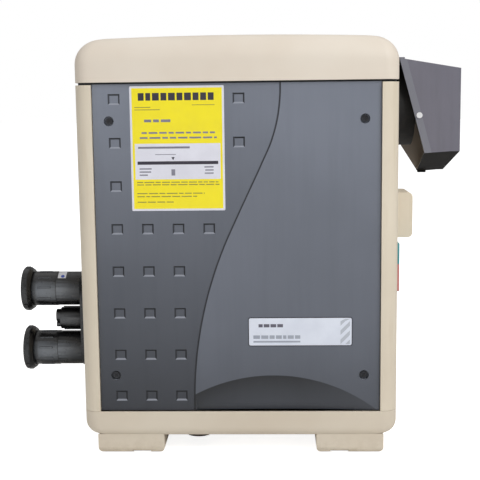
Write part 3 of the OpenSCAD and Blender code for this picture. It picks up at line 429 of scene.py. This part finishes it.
MATERIALS = {
    "cover_beige": moulded_plastic("cover_beige", "#e4dacc", "#dccfbf", "#b9a78c", dirt_top=0.2),
    "base_beige": moulded_plastic("base_beige", "#dbd0be", "#d4c7b4", "#a8977c", dirt_top=0.04),
    "panel_beige": powder_coat("panel_beige", "#e1d6c2", "#d9cdb9", streak="#c9b99e"),
    "panel_grey": front_coat("panel_grey"),
    "hood_grey": hood_coat("hood_grey"),
    "collar_black": powder_coat("collar_black", "#191716", "#131211", 0.7, streak="#2a2420"),
    "motor_black": powder_coat("motor_black", "#3c3e41", "#34363a"),
    "pipe_black": powder_coat("pipe_black", "#2f2f31", "#29292b", streak="#4a3a2e"),
    "transformer_brown": powder_coat("transformer_brown", "#7d6a4f", "#6f5d44", streak="#4d4234"),
    # Dark screws: their own dark metal, made darker still as painted shade for the recesses they sit in.
    "dark_screws": bare_metal("dark_screws", "#3e3f43", "#2f3033", 0.45, tarnish="#3a322c", amount=0.6),
    "bright_screws": bright_zinc("bright_screws"),
    "galvanised": zinc_spangle("galvanised"),
    "nameplate_silver": bare_metal("nameplate_silver", "#e4e9f4", "#dadfeb", 0.45, (12.0, 1.0, 1.0),
                                   amount=0.35),
    "label_yellow": printed("label_yellow", "#fbea12", "#f3e120"),
    "label_teal": printed("label_teal", "#4f9aa0", "#46898f"),
    "black_plastic": black_with_painted_highlight("black_plastic", "#65686c", "#121213", dust="#6a6b6c"),
    "union_plastic": black_with_painted_highlight("union_plastic", "#848a92", "#151517", dust="#767778"),
    "control_black": black_plastic("control_black", "#37393d", "#2f3135"),
    "impeller_grey": black_plastic("impeller_grey", "#56595c", "#4b4e51"),
    "switch_grey": black_plastic("switch_grey", "#4b4d51", "#404246"),
    "lead_black": black_plastic("lead_black", "#1f1f21", "#18181a", rough=0.55),
    "knob_blue": black_plastic("knob_blue", "#22305f", "#1b264e", "#4b5270"),
    "drain_brown": black_plastic("drain_brown", "#3d2f26", "#33271f", "#5e5142", 0.5),
    "button_grey": moulded_plastic("button_grey", "#cbc8c0", "#c0bdb5", "#9d988c", 0.4),
    "button_red": moulded_plastic("button_red", "#a83c35", "#98342e", "#6f2823", 0.4),
    "igniter_ceramic": moulded_plastic("igniter_ceramic", "#dad6ca", "#cfcabd", "#9a9282", 0.6),
    "display_glass": window_glass("display_glass"),
    "board_green": circuit("board_green"),
    "copper": bare_metal("copper", "#b06d43", "#96583a", 0.32, tarnish="#5d4a38"),
    "brass": bare_metal("brass", "#a8863f", "#937436", 0.3, tarnish="#6c5a32"),
    "cast_alloy": bare_metal("cast_alloy", "#c2c4c6", "#aaadaf", 0.5, (1.0, 1.0, 1.0), tarnish="#8b8c8a"),
}
SLOTS = {p["node"]: p["material_slot"] for p in frame["record"]["subparts"]}


def dress(obj, slot_name):
    """Gives every face of an object one of the materials."""
    obj.data.materials.clear()
    obj.data.materials.append(MATERIALS[slot_name])


# ---------------------------------------------------------------- mesh helpers

def mesh_object(name, verts, faces, material, smooth_deg=35):
    mesh = bpy.data.meshes.new(name)
    mesh.from_pydata([tuple(v) for v in verts], [], faces)
    bm = bmesh.new()
    bm.from_mesh(mesh)
    bmesh.ops.remove_doubles(bm, verts=bm.verts, dist=1e-6)
    bmesh.ops.recalc_face_normals(bm, faces=bm.faces)
    bm.to_mesh(mesh)
    bm.free()
    mesh.validate()
    obj = bpy.data.objects.new(name, mesh)
    bpy.context.scene.collection.objects.link(obj)
    mesh.materials.append(MATERIALS[material] if isinstance(material, str) else material)
    smooth_by_angle(mesh, smooth_deg)
    return obj


def smooth_by_angle(mesh, degrees):
    """Smooth shading everywhere but across edges sharper than the angle."""
    bm = bmesh.new()
    bm.from_mesh(mesh)
    for f in bm.faces:
        f.smooth = True
    limit = math.radians(degrees)
    for e in bm.edges:
        e.smooth = len(e.link_faces) == 2 and e.calc_face_angle(0) < limit
    bm.to_mesh(mesh)
    bm.free()


def soften(obj, width, segments=2, angle=32):
    """Rounds the sharp edges of a CAD node so they catch the light."""
    weld = obj.modifiers.new("weld", "WELD")
    weld.merge_threshold = 1e-5
    bev = obj.modifiers.new("bevel", "BEVEL")
    bev.width = width
    bev.segments = segments
    bev.limit_method = "ANGLE"
    bev.angle_limit = math.radians(angle)
    bev.use_clamp_overlap = True
    bev.harden_normals = True


def apply_modifiers(obj):
    """Bakes an object's modifiers into its mesh."""
    graph = bpy.context.evaluated_depsgraph_get()
    mesh = bpy.data.meshes.new_from_object(obj.evaluated_get(graph))
    obj.modifiers.clear()
    obj.data = mesh


def cut_away(obj, cutter):
    """Subtracts one closed mesh from another and removes the cutter."""
    mod = obj.modifiers.new("cut", "BOOLEAN")
    mod.operation = "DIFFERENCE"
    mod.solver = "EXACT"
    mod.object = cutter
    apply_modifiers(obj)
    bpy.data.objects.remove(cutter)


def box_mesh(name, lo, hi, material):
    x0, y0, z0 = lo
    x1, y1, z1 = hi
    verts = [(x, y, z) for z in (z0, z1) for y in (y0, y1) for x in (x0, x1)]
    faces = [(0, 1, 3, 2), (4, 6, 7, 5), (0, 4, 5, 1), (2, 3, 7, 6), (0, 2, 6, 4), (1, 5, 7, 3)]
    return mesh_object(name, verts, faces, material)


def drum_mesh(name, centre, radius, x0, x1, material, steps=96):
    """Closed cylinder along X."""
    verts = []
    for x in (x0, x1):
        for i in range(steps):
            a = 2 * math.pi * i / steps
            verts.append((x, centre[0] + radius * math.cos(a), centre[1] + radius * math.sin(a)))
    faces = [(i, (i + 1) % steps, steps + (i + 1) % steps, steps + i) for i in range(steps)]
    faces += [tuple(range(steps)), tuple(range(2 * steps - 1, steps - 1, -1))]
    return mesh_object(name, verts, faces, material)


def outline(hw, hd, r, corner=10, side=14):
    """Rounded rectangle as a closed ring, the same count of points at every size."""
    pts = []
    for cx, cy, start in ((1, 1, 0), (-1, 1, 90), (-1, -1, 180), (1, -1, 270)):
        arc = []
        for i in range(corner + 1):
            a = math.radians(start + 90 * i / corner)
            arc.append((cx * (hw - r) + r * math.cos(a), cy * (hd - r) + r * math.sin(a)))
        pts += arc
        nx, ny = {(1, 1): (-1, 1), (-1, 1): (-1, -1), (-1, -1): (1, -1), (1, -1): (1, 1)}[(cx, cy)]
        a = math.radians(start + 90)
        end = (nx * (hw - r) + r * math.cos(a), ny * (hd - r) + r * math.sin(a))
        for i in range(1, side):
            t = i / side
            pts.append((arc[-1][0] * (1 - t) + end[0] * t, arc[-1][1] * (1 - t) + end[1] * t))
    return pts


def cushion(name, half, z_open, z_roll, plan_r, rolls, crown, material, up=1, wall=0.004, roll_steps=14):
    """Moulded shell: upright skirt, sides rolled into a crowned cap. up=-1 turns it over.
    rolls are the radii of the side rolls and of the front and rear rolls."""
    hw, hd = half
    roll_r = max(rolls)

    def level(x, rise):
        u = min(1.0, abs(x) / (hw - rolls[0]))
        return z_roll + up * (rise - crown * u * u)

    def inset(radius, rise):
        into = max(0.0, rise - (roll_r - radius))
        return radius - math.sqrt(max(0.0, radius ** 2 - into ** 2))

    rings = []
    for k in range(4):
        t = k / 3
        z_end = [level(x, 0) for x, _ in outline(hw, hd, plan_r)]
        rings.append([(x, y, z_open * (1 - t) + z * t) for (x, y), z in zip(outline(hw, hd, plan_r), z_end)])
    for k in range(1, roll_steps + 1):
        rise = roll_r * math.sin(math.pi / 2 * k / roll_steps)
        in_x, in_y = inset(rolls[0], rise), inset(rolls[1], rise)
        ring = outline(hw - in_x, hd - in_y, max(plan_r - 0.25 * min(in_x, in_y), 0.004))
        rings.append([(x, y, level(x, rise)) for x, y in ring])
    edge = rings[-1]
    caps = 14
    for k in range(1, caps):
        t = 1 - k / caps
        rings.append([(x * t, y * t, level(x * t, roll_r)) for x, y, _ in edge])
    count = len(rings[0])
    verts = [v for ring in rings for v in ring]
    faces = []
    for k in range(len(rings) - 1):
        for i in range(count):
            j = (i + 1) % count
            faces.append((k * count + i, k * count + j, (k + 1) * count + j, (k + 1) * count + i))
    verts.append((0, 0, level(0, roll_r)))
    last = (len(rings) - 1) * count
    faces += [(last + i, last + (i + 1) % count, len(verts) - 1) for i in range(count)]
    obj = mesh_object(name, verts, faces, material, 40)
    solid = obj.modifiers.new("wall", "SOLIDIFY")
    solid.thickness = wall
    solid.offset = -1
    solid.use_even_offset = True
    apply_modifiers(obj)
    return obj


# ---------------------------------------------------------------- replaced pieces

def make_top_cover():
    """Beige crowned cover with its control opening and flue notch, and a dark inner lip under it as painted
    shade in the gap.
    """
    hw = (cover_hi.x - cover_lo.x) / 2
    hd = (cover_hi.y - cover_lo.y) / 2
    roll = 42 * MM
    seam = cover_lo.z + 9 * MM
    plan_r, crown = 26 * MM, 4 * MM
    obj = cushion("cover_shell", (hw, hd), seam, cover_hi.z - roll, plan_r, (roll, roll), crown, "cover_beige")
    seat = cover_hi.z - 2 * MM
    rim, bezel_rim, opening_d = 6 * MM, 5.5 * MM, 140 * MM
    cx = bezel_hi.x - bezel_rim
    y0 = bezel_lo.y + bezel_rim
    y1 = y0 + opening_d
    cut_away(obj, box_mesh("cut_a", (-cx - rim, y0 - rim, seat), (cx + rim, y1 + 14 * MM, seat + 0.02),
                           "cover_beige"))
    cut_away(obj, box_mesh("cut_b", (-cx, y0, seat - 0.03), (cx, y1, seat + 0.02), "cover_beige"))
    flue = ((collar_lo.y + collar_hi.y) / 2, (collar_lo.z + collar_hi.z) / 2)
    notch_r = (collar_hi.z - collar_lo.z) / 2 - 7 * MM
    cut_away(obj, drum_mesh("cut_c", flue, notch_r, hw - 0.04, hw + 0.01, "cover_beige"))
    smooth_by_angle(obj.data, 40)
    soften(obj, 0.7 * MM, 2, 50)
    # The dark lip stands in for the shade in the gap under the cover: painted shade.
    lip = make_cover_gap_shade(hw, hd, seam)
    lip.parent = obj
    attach(obj, "top_cover")
    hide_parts("top_cover")
    return obj


def make_cover_gap_shade(hw, hd, seam):
    """Dark inner lip under the cover: painted shade, a black piece filling the gap where shade falls."""
    inset_x, inset_y, wall = 3.5 * MM, 18 * MM, 2.5 * MM
    outer = outline(hw - inset_x, hd - inset_y, 12 * MM, 6, 2)
    inner = outline(hw - inset_x - wall, hd - inset_y - wall, 10 * MM, 6, 2)
    n = len(outer)
    z0, z1 = cover_lo.z, seam + 3 * MM
    verts = [(x, y, z) for z in (z0, z1) for ring in (outer, inner) for x, y in ring]
    faces = []
    for i in range(n):
        j = (i + 1) % n
        faces += [(i, j, 2 * n + j, 2 * n + i), (n + j, n + i, 3 * n + i, 3 * n + j)]
        faces += [(n + i, n + j, j, i), (2 * n + i, 2 * n + j, 3 * n + j, 3 * n + i)]
    return mesh_object("cover_gap_shade", verts, faces, "control_black")


def make_base_tray():
    """Beige base with its sides rolled under."""
    hw = (base_hi.x - base_lo.x) / 2
    hd = (base_hi.y - base_lo.y) / 2
    rolls = (25 * MM, 16 * MM)
    plan_r, crown = 26 * MM, 0
    obj = cushion("base_shell", (hw, hd), base_hi.z, base_lo.z + rolls[0], plan_r, rolls, crown,
                  "base_beige", up=-1)
    soften(obj, 0.8 * MM, 2, 50)
    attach(obj, "cabinet")
    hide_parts("base_tray")
    return obj


def rounded_plate(name, x0, x1, z0, z1, r, y_back, y_front, material, edge=0.0004):
    """Thin plate facing the front, with rounded corners and a small rounded edge."""
    ring = outline((x1 - x0) / 2, (z1 - z0) / 2, r, 6, 2)
    cx, cz = (x0 + x1) / 2, (z0 + z1) / 2
    n = len(ring)
    small = outline((x1 - x0) / 2 - edge, (z1 - z0) / 2 - edge, max(r - edge, 1e-5), 6, 2)
    verts = [(cx + x, y_back, cz + z) for x, z in ring]
    verts += [(cx + x, y_front + edge, cz + z) for x, z in ring]
    verts += [(cx + x, y_front, cz + z) for x, z in small]
    faces = []
    for k in range(2):
        for i in range(n):
            j = (i + 1) % n
            faces.append((k * n + i, k * n + j, (k + 1) * n + j, (k + 1) * n + i))
    faces += [tuple(range(n)), tuple(range(3 * n - 1, 2 * n - 1, -1))]
    return mesh_object(name, verts, faces, material, 30)


def flat_shape(name, points, y, thick, material):
    """Thin printed shape on the front face: a polygon in X and Z."""
    n = len(points)
    verts = [(x, y, z) for x, z in points] + [(x, y - thick, z) for x, z in points]
    faces = [(i, (i + 1) % n, n + (i + 1) % n, n + i) for i in range(n)]
    faces += [tuple(range(n)), tuple(range(2 * n - 1, n - 1, -1))]
    return mesh_object(name, verts, faces, material)


def join(name, pieces):
    """One object from several, keeping their materials."""
    bm = bmesh.new()
    mats = []
    for p in pieces:
        mat = p.data.materials[0]
        if mat not in mats:
            mats.append(mat)
        start = len(bm.faces)
        bm.from_mesh(p.data)
        bm.faces.ensure_lookup_table()
        for f in bm.faces[start:]:
            f.material_index = mats.index(mat)
    mesh = bpy.data.meshes.new(name)
    bm.to_mesh(mesh)
    bm.free()
    obj = bpy.data.objects.new(name, mesh)
    bpy.context.scene.collection.objects.link(obj)
    for m in mats:
        mesh.materials.append(m)
    for p in pieces:
        bpy.data.objects.remove(p)
    return obj


def ink_bar(x0, x1, z0, z1, y, material, thick=0.00006):
    return flat_shape("bar", [(x0, z0), (x1, z0), (x1, z1), (x0, z1)], y, thick, material)


def make_label():
    """Large yellow label: white border, heading blocks, white box with a scale bar, lines of fine print."""
    white = printed("label_white", "#e4e4ee", "#dadae4", 0.42)
    ink = printed("label_ink", "#2e2a38", "#38333f", 0.5)
    pale_ink = printed("label_pale_ink", "#8f8a3a", "#9c9548", 0.5)
    grey_ink = printed("label_grey_ink", "#7b7a88", "#8a8996", 0.5)
    back = label_hi.y
    front = label_lo.y + 0.00022
    x0, x1, z0, z1 = label_lo.x, label_hi.x, label_lo.z, label_hi.z
    w, h = x1 - x0, z1 - z0
    border = 3.4 * MM
    parts = [rounded_plate("sheet", x0, x1, z0, z1, 2 * MM, back, front, white, 0.0001)]
    ink_y = front + 0.00001
    yellow = MATERIALS["label_yellow"]
    parts.append(ink_bar(x0 + border, x1 - border, z0 + border, z1 - border, ink_y, yellow))
    y = ink_y - 0.00005

    def at(u0, u1, v0, v1, mat, lift=0.0):
        parts.append(ink_bar(x0 + u0 * w, x0 + u1 * w, z1 - v1 * h, z1 - v0 * h, y - lift, mat))

    cuts = [0.09, 0.17, 0.24, 0.33, 0.41, 0.50, 0.58, 0.67, 0.75, 0.83, 0.91]
    for a, b in zip(cuts, cuts[1:]):
        at(a, b - 0.018, 0.055, 0.115, ink)
    for v, end in ((0.165, 0.22), (0.185, 0.32)):
        at(0.05, end, v, v + 0.006, pale_ink)
    at(0.66, 0.90, 0.150, 0.155, pale_ink)
    word_rows = [(0.265, 0.15, 0.44, grey_ink, 0.022), (0.365, 0.12, 0.90, grey_ink, 0.014),
                 (0.405, 0.10, 0.92, grey_ink, 0.014)]
    for v, a, b, mat, tall in word_rows:
        u = a
        while u < b:
            end = min(b, u + random.uniform(0.05, 0.13))
            at(u, end, v, v + tall, mat)
            u = end + 0.02
    at(0.045, 0.955, 0.458, 0.745, white)
    at(0.08, 0.63, 0.482, 0.498, grey_ink, 0.00005)
    at(0.26, 0.48, 0.543, 0.548, grey_ink, 0.00005)
    at(0.07, 0.93, 0.600, 0.626, ink, 0.00005)
    mid = x0 + 0.45 * w
    top = z1 - 0.567 * h
    parts.append(flat_shape("pointer", [(mid, top - 5 * MM), (mid + 2.8 * MM, top), (mid - 2.8 * MM, top)],
                            y - 0.00005, 0.00006, ink))
    for v in (0.655, 0.680, 0.705):
        at(0.09, 0.17 + random.uniform(0, 0.05), v, v + 0.010, grey_ink, 0.00005)
        at(0.78 + random.uniform(0, 0.04), 0.88, v - 0.012, v - 0.002, grey_ink, 0.00005)
    at(0.43, 0.47, 0.665, 0.715, grey_ink, 0.00005)
    for v, b in ((0.765, 0.93), (0.785, 0.94), (0.855, 0.78), (0.880, 0.70), (0.925, 0.46)):
        u = 0.06
        while u < b:
            end = min(b, u + random.uniform(0.04, 0.12))
            at(u, end, v, v + 0.008, pale_ink)
            u = end + 0.014
    obj = join("label_print", parts)
    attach(obj, "front_panel")
    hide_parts("warning_label")
    return obj


def make_nameplate():
    """Silver nameplate in a dark rim, with plain blocks of ink and a band of grey triangles."""
    rim_mat = printed("plate_rim", "#2b2a34", "#33323c", 0.5)
    ink = printed("plate_ink", "#5a5868", "#66646f", 0.5)
    soft = printed("plate_soft_ink", "#9aa0ad", "#a5abb6", 0.5)
    band = printed("plate_band", "#b3b8c2", "#bcc1cb", 0.45)
    x0, x1, z0, z1 = plate_lo.x, plate_hi.x, plate_lo.z, plate_hi.z
    back, front = plate_hi.y, plate_lo.y
    parts = [rounded_plate("rim", x0, x1, z0, z1, 4 * MM, back, front + 0.0009, rim_mat, 0.0004)]
    e = 1.3 * MM
    face_y = front + 0.0003
    parts.append(rounded_plate("face", x0 + e, x1 - e, z0 + e, z1 - e, 3 * MM, back - 0.0003, face_y,
                               "nameplate_silver", 0.0004))
    y = face_y + 0.00001
    w, h = x1 - x0, z1 - z0
    for a, b in ((0.10, 0.14), (0.15, 0.205), (0.215, 0.27), (0.28, 0.335)):
        parts.append(ink_bar(x0 + a * w, x0 + b * w, z1 - 0.34 * h, z1 - 0.23 * h, y, ink))
    a = 0.05
    while a < 0.50:
        b = a + random.uniform(0.03, 0.07)
        parts.append(ink_bar(x0 + a * w, x0 + min(b, 0.5) * w, z1 - 0.74 * h, z1 - 0.62 * h, y, soft))
        a = b + 0.012
    parts.append(ink_bar(x0 + 0.05 * w, x0 + 0.5 * w, z1 - 0.87 * h, z1 - 0.81 * h, y, soft))
    cell = 0.045 * w
    bx = x0 + 0.885 * w
    rows = int((h - 2 * e - 4 * MM) / cell)
    for col in range(2):
        for row in range(rows + 1):
            cz = z0 + e + 2 * MM + row * cell
            top = min(cz + cell, z1 - e - 1.5 * MM)
            if (row + col) % 2:
                pts = [(bx + col * cell, cz), (bx + (col + 1) * cell, cz), (bx + (col + 1) * cell, top)]
            else:
                pts = [(bx + col * cell, cz), (bx + (col + 1) * cell, top), (bx + col * cell, top)]
            parts.append(flat_shape("tri", pts, y, 0.00006, band))
    obj = join("nameplate_face", parts)
    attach(obj, "front_panel")
    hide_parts("nameplate")
    return obj


def make_side_labels():
    """Two coloured labels wrapped over the low pad behind the right post."""
    pink = printed("label_pink", "#c97f7c", "#bd7470", 0.45)
    lip = 0.2 * MM
    split = pad_lo.z + 0.58 * (pad_hi.z - pad_lo.z)
    for name, z0, z1, mat in (("side_label_teal", split + MM, pad_hi.z - MM, MATERIALS["label_teal"]),
                              ("side_label_pink", pad_lo.z + MM, split - MM, pink)):
        back = 0.45 * (pad_hi.y - pad_lo.y)
        section = [(pad_lo.x + 1 * MM, pad_lo.y), (pad_hi.x, pad_lo.y), (pad_hi.x, pad_lo.y + back)]
        outer = [(pad_lo.x + 1 * MM, pad_lo.y - lip), (pad_hi.x + lip, pad_lo.y - lip),
                 (pad_hi.x + lip, pad_lo.y + back)]
        ring = outer + section[::-1]
        n = len(ring)
        verts = [(x, y, z) for z in (z0, z1) for x, y in ring]
        faces = [(i, (i + 1) % n, n + (i + 1) % n, n + i) for i in range(n)]
        faces += [tuple(range(n)), tuple(range(2 * n - 1, n - 1, -1))]
        obj = mesh_object(name, verts, faces, mat)
        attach(obj, "cabinet")


def make_pipe_sticker():
    """Small white sticker with a blue dot on the upper union's neck."""
    white = printed("sticker_white", "#e2e4ea", "#d6d8de", 0.45)
    blue = printed("sticker_blue", "#3554b8", "#2f4ba6", 0.45)
    cy = (pipe_lo.y + pipe_hi.y) / 2
    cz = (pipe_lo.z + pipe_hi.z) / 2
    r = 33.5 * MM
    x0 = pipe_hi.x - 44 * MM
    x1 = x0 + 16 * MM

    def patch(name, x0, x1, a0, a1, lift, mat, steps=10):
        verts = []
        for k in range(2):
            rad = r + lift - k * 0.0003
            for i in range(steps + 1):
                a = math.radians(a0 + (a1 - a0) * i / steps)
                for x in (x0, x1):
                    verts.append((x, cy - rad * math.sin(a), cz + rad * math.cos(a)))
        m = 2 * (steps + 1)
        faces = []
        for i in range(steps):
            b = 2 * i
            faces += [(b, b + 1, b + 3, b + 2), (m + b + 2, m + b + 3, m + b + 1, m + b)]
            faces += [(b + 2, m + b + 2, m + b, b), (b + 1, m + b + 1, m + b + 3, b + 3)]
        faces += [(0, m, m + 1, 1), (m - 1, 2 * m - 1, 2 * m - 2, m - 2)]
        return mesh_object(name, verts, faces, mat, 60)

    parts = [patch("sticker", x0, x1, 8, 44, 0.0003, white)]
    dot_r = 3.6 * MM
    mid_x, mid_a = (x0 + x1) / 2 + 1.5 * MM, math.radians(36)
    ring = []
    steps = 20
    for i in range(steps):
        t = 2 * math.pi * i / steps
        a = mid_a + dot_r * math.sin(t) / r
        rad = r + 0.6 * MM
        ring.append((mid_x + dot_r * math.cos(t), cy - rad * math.sin(a), cz + rad * math.cos(a)))
    under = [(x, y + 0.0004, z - 0.0002) for x, y, z in ring]
    faces = [(i, (i + 1) % steps, steps + (i + 1) % steps, steps + i) for i in range(steps)]
    faces = [tuple(range(steps)), tuple(range(2 * steps - 1, steps - 1, -1))] + faces
    parts.append(mesh_object("dot", ring + under, faces, blue))
    obj = join("flow_sticker", parts)
    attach(obj, "cabinet")


# ---------------------------------------------------------------- CAD nodes that stay

EDGES = {
    "exhaust_hood": 0.35, "junction_box": 1.2, "water_header": 1.2,
    "union_nut_high": 1.0, "union_nut_low": 1.0, "union_body_high": 0.5, "union_body_low": 0.5,
    "tailpiece_high": 0.8, "tailpiece_low": 0.8, "bypass_cap": 0.6, "flue_collar": 0.8,
    "foot_front_left": 1.2, "foot_front_right": 1.2, "foot_rear_left": 1.2, "foot_rear_right": 1.2,
    "control_bezel": 0.4, "control_cover": 0.7, "base_drain": 1.0, "gas_inlet": 0.6, "label_pad": 0.6,
    "blower_housing": 1.0, "blower_motor": 1.0, "gas_valve": 1.5, "transformer": 1.0,
}


def finish_cad_nodes():
    """Gives every CAD node its material, and small rounded edges to those listed in EDGES."""
    for name, obj in frame["nodes"].items():
        dress(obj, SLOTS[name])
        weld_for_shading(obj)
        if name in EDGES:
            soften(obj, EDGES[name] * MM)


def weld_for_shading(obj):
    """Welds the CAD mesh for shading only; its shape stays as packed."""
    weld = obj.modifiers.new("join", "WELD")
    weld.merge_threshold = 1e-5


# ---------------------------------------------------------------- stage

def make_floor():
    s = Shader("floor")
    s.colour(s.mix(s.ramp(s.noise(2, 2), 0.3, 0.7), linear("#fbfbfb"), linear("#f6f6f6")))
    s.roughness(s.ramp(s.noise(4, 2), 0.3, 0.7, 0.8, 0.9))
    s.bsdf.inputs["Emission Color"].default_value = (1, 1, 1, 1)
    seen = s.add("ShaderNodeLightPath").outputs["Is Camera Ray"]
    s.link(s.math("MULTIPLY", seen, 0.85), s.bsdf.inputs["Emission Strength"])
    s.gloss(0.0)
    size = 30
    floor = mesh_object("floor", [(-size, -size, 0), (size, -size, 0), (size, size, 0), (-size, size, 0)],
                        [(0, 1, 2, 3)], s.mat)
    floor.location.z = -0.0005


def area_light(name, place, aim, size, power, tint=(1, 1, 1)):
    lamp = bpy.data.lights.new(name, "AREA")
    lamp.shape = "RECTANGLE"
    lamp.size, lamp.size_y = size
    lamp.energy = power
    lamp.color = tint
    obj = bpy.data.objects.new(name, lamp)
    bpy.context.scene.collection.objects.link(obj)
    obj.location = place
    obj.rotation_euler = (Vector(aim) - Vector(place)).to_track_quat("-Z", "Y").to_euler()


def make_lights():
    world = bpy.data.worlds.new("studio")
    bpy.context.scene.world = world
    world.use_nodes = True
    tree = world.node_tree
    back = tree.nodes["Background"]
    back.inputs["Color"].default_value = (1, 1, 1, 1)
    seen = tree.nodes.new("ShaderNodeLightPath")
    strength = tree.nodes.new("ShaderNodeMapRange")
    strength.inputs["To Min"].default_value = 0.31
    strength.inputs["To Max"].default_value = 1.0
    tree.links.new(seen.outputs["Is Camera Ray"], strength.inputs["Value"])
    tree.links.new(strength.outputs[0], back.inputs["Strength"])
    mid = (0, 0, 0.4)
    area_light("key", (1.7, -2.2, 2.4), mid, (1.2, 1.2), 46)
    area_light("fill", (-2.4, -1.6, 1.2), mid, (1.6, 1.6), 5)
    area_light("front", (-0.5, -3.4, 0.45), (-0.2, 0, 0.3), (2.2, 0.5), 6)
    area_light("sky", (0, 0, 3.4), (0, 0, 0), (6.0, 6.0), 62)


def make_camera():
    """Long lens in front of the cabinet, a little above it and to the right."""
    yaw, pitch, roll = math.radians(-1.95), math.radians(7.82), math.radians(-0.68)
    right = Vector((math.cos(yaw), -math.sin(yaw), 0))
    ahead = Vector((math.sin(yaw) * math.cos(pitch), math.cos(yaw) * math.cos(pitch), -math.sin(pitch)))
    up = right.cross(ahead)
    r2 = math.cos(roll) * right + math.sin(roll) * up
    u2 = -math.sin(roll) * right + math.cos(roll) * up
    cam = bpy.data.cameras.new("camera")
    cam.lens = 75
    cam.sensor_width = 36
    cam.clip_end = 100
    obj = bpy.data.objects.new("camera", cam)
    bpy.context.scene.collection.objects.link(obj)
    place = (0.0596, -1.9961, 0.5949)
    obj.matrix_world = Matrix.Translation(place) @ Matrix((r2, u2, -ahead)).transposed().to_4x4()
    bpy.context.scene.camera = obj


bpy.context.scene.view_settings.view_transform = "Standard"
make_camera()
make_lights()
make_floor()
finish_cad_nodes()
make_top_cover()
make_base_tray()
make_label()
make_nameplate()
make_side_labels()
make_pipe_sticker()
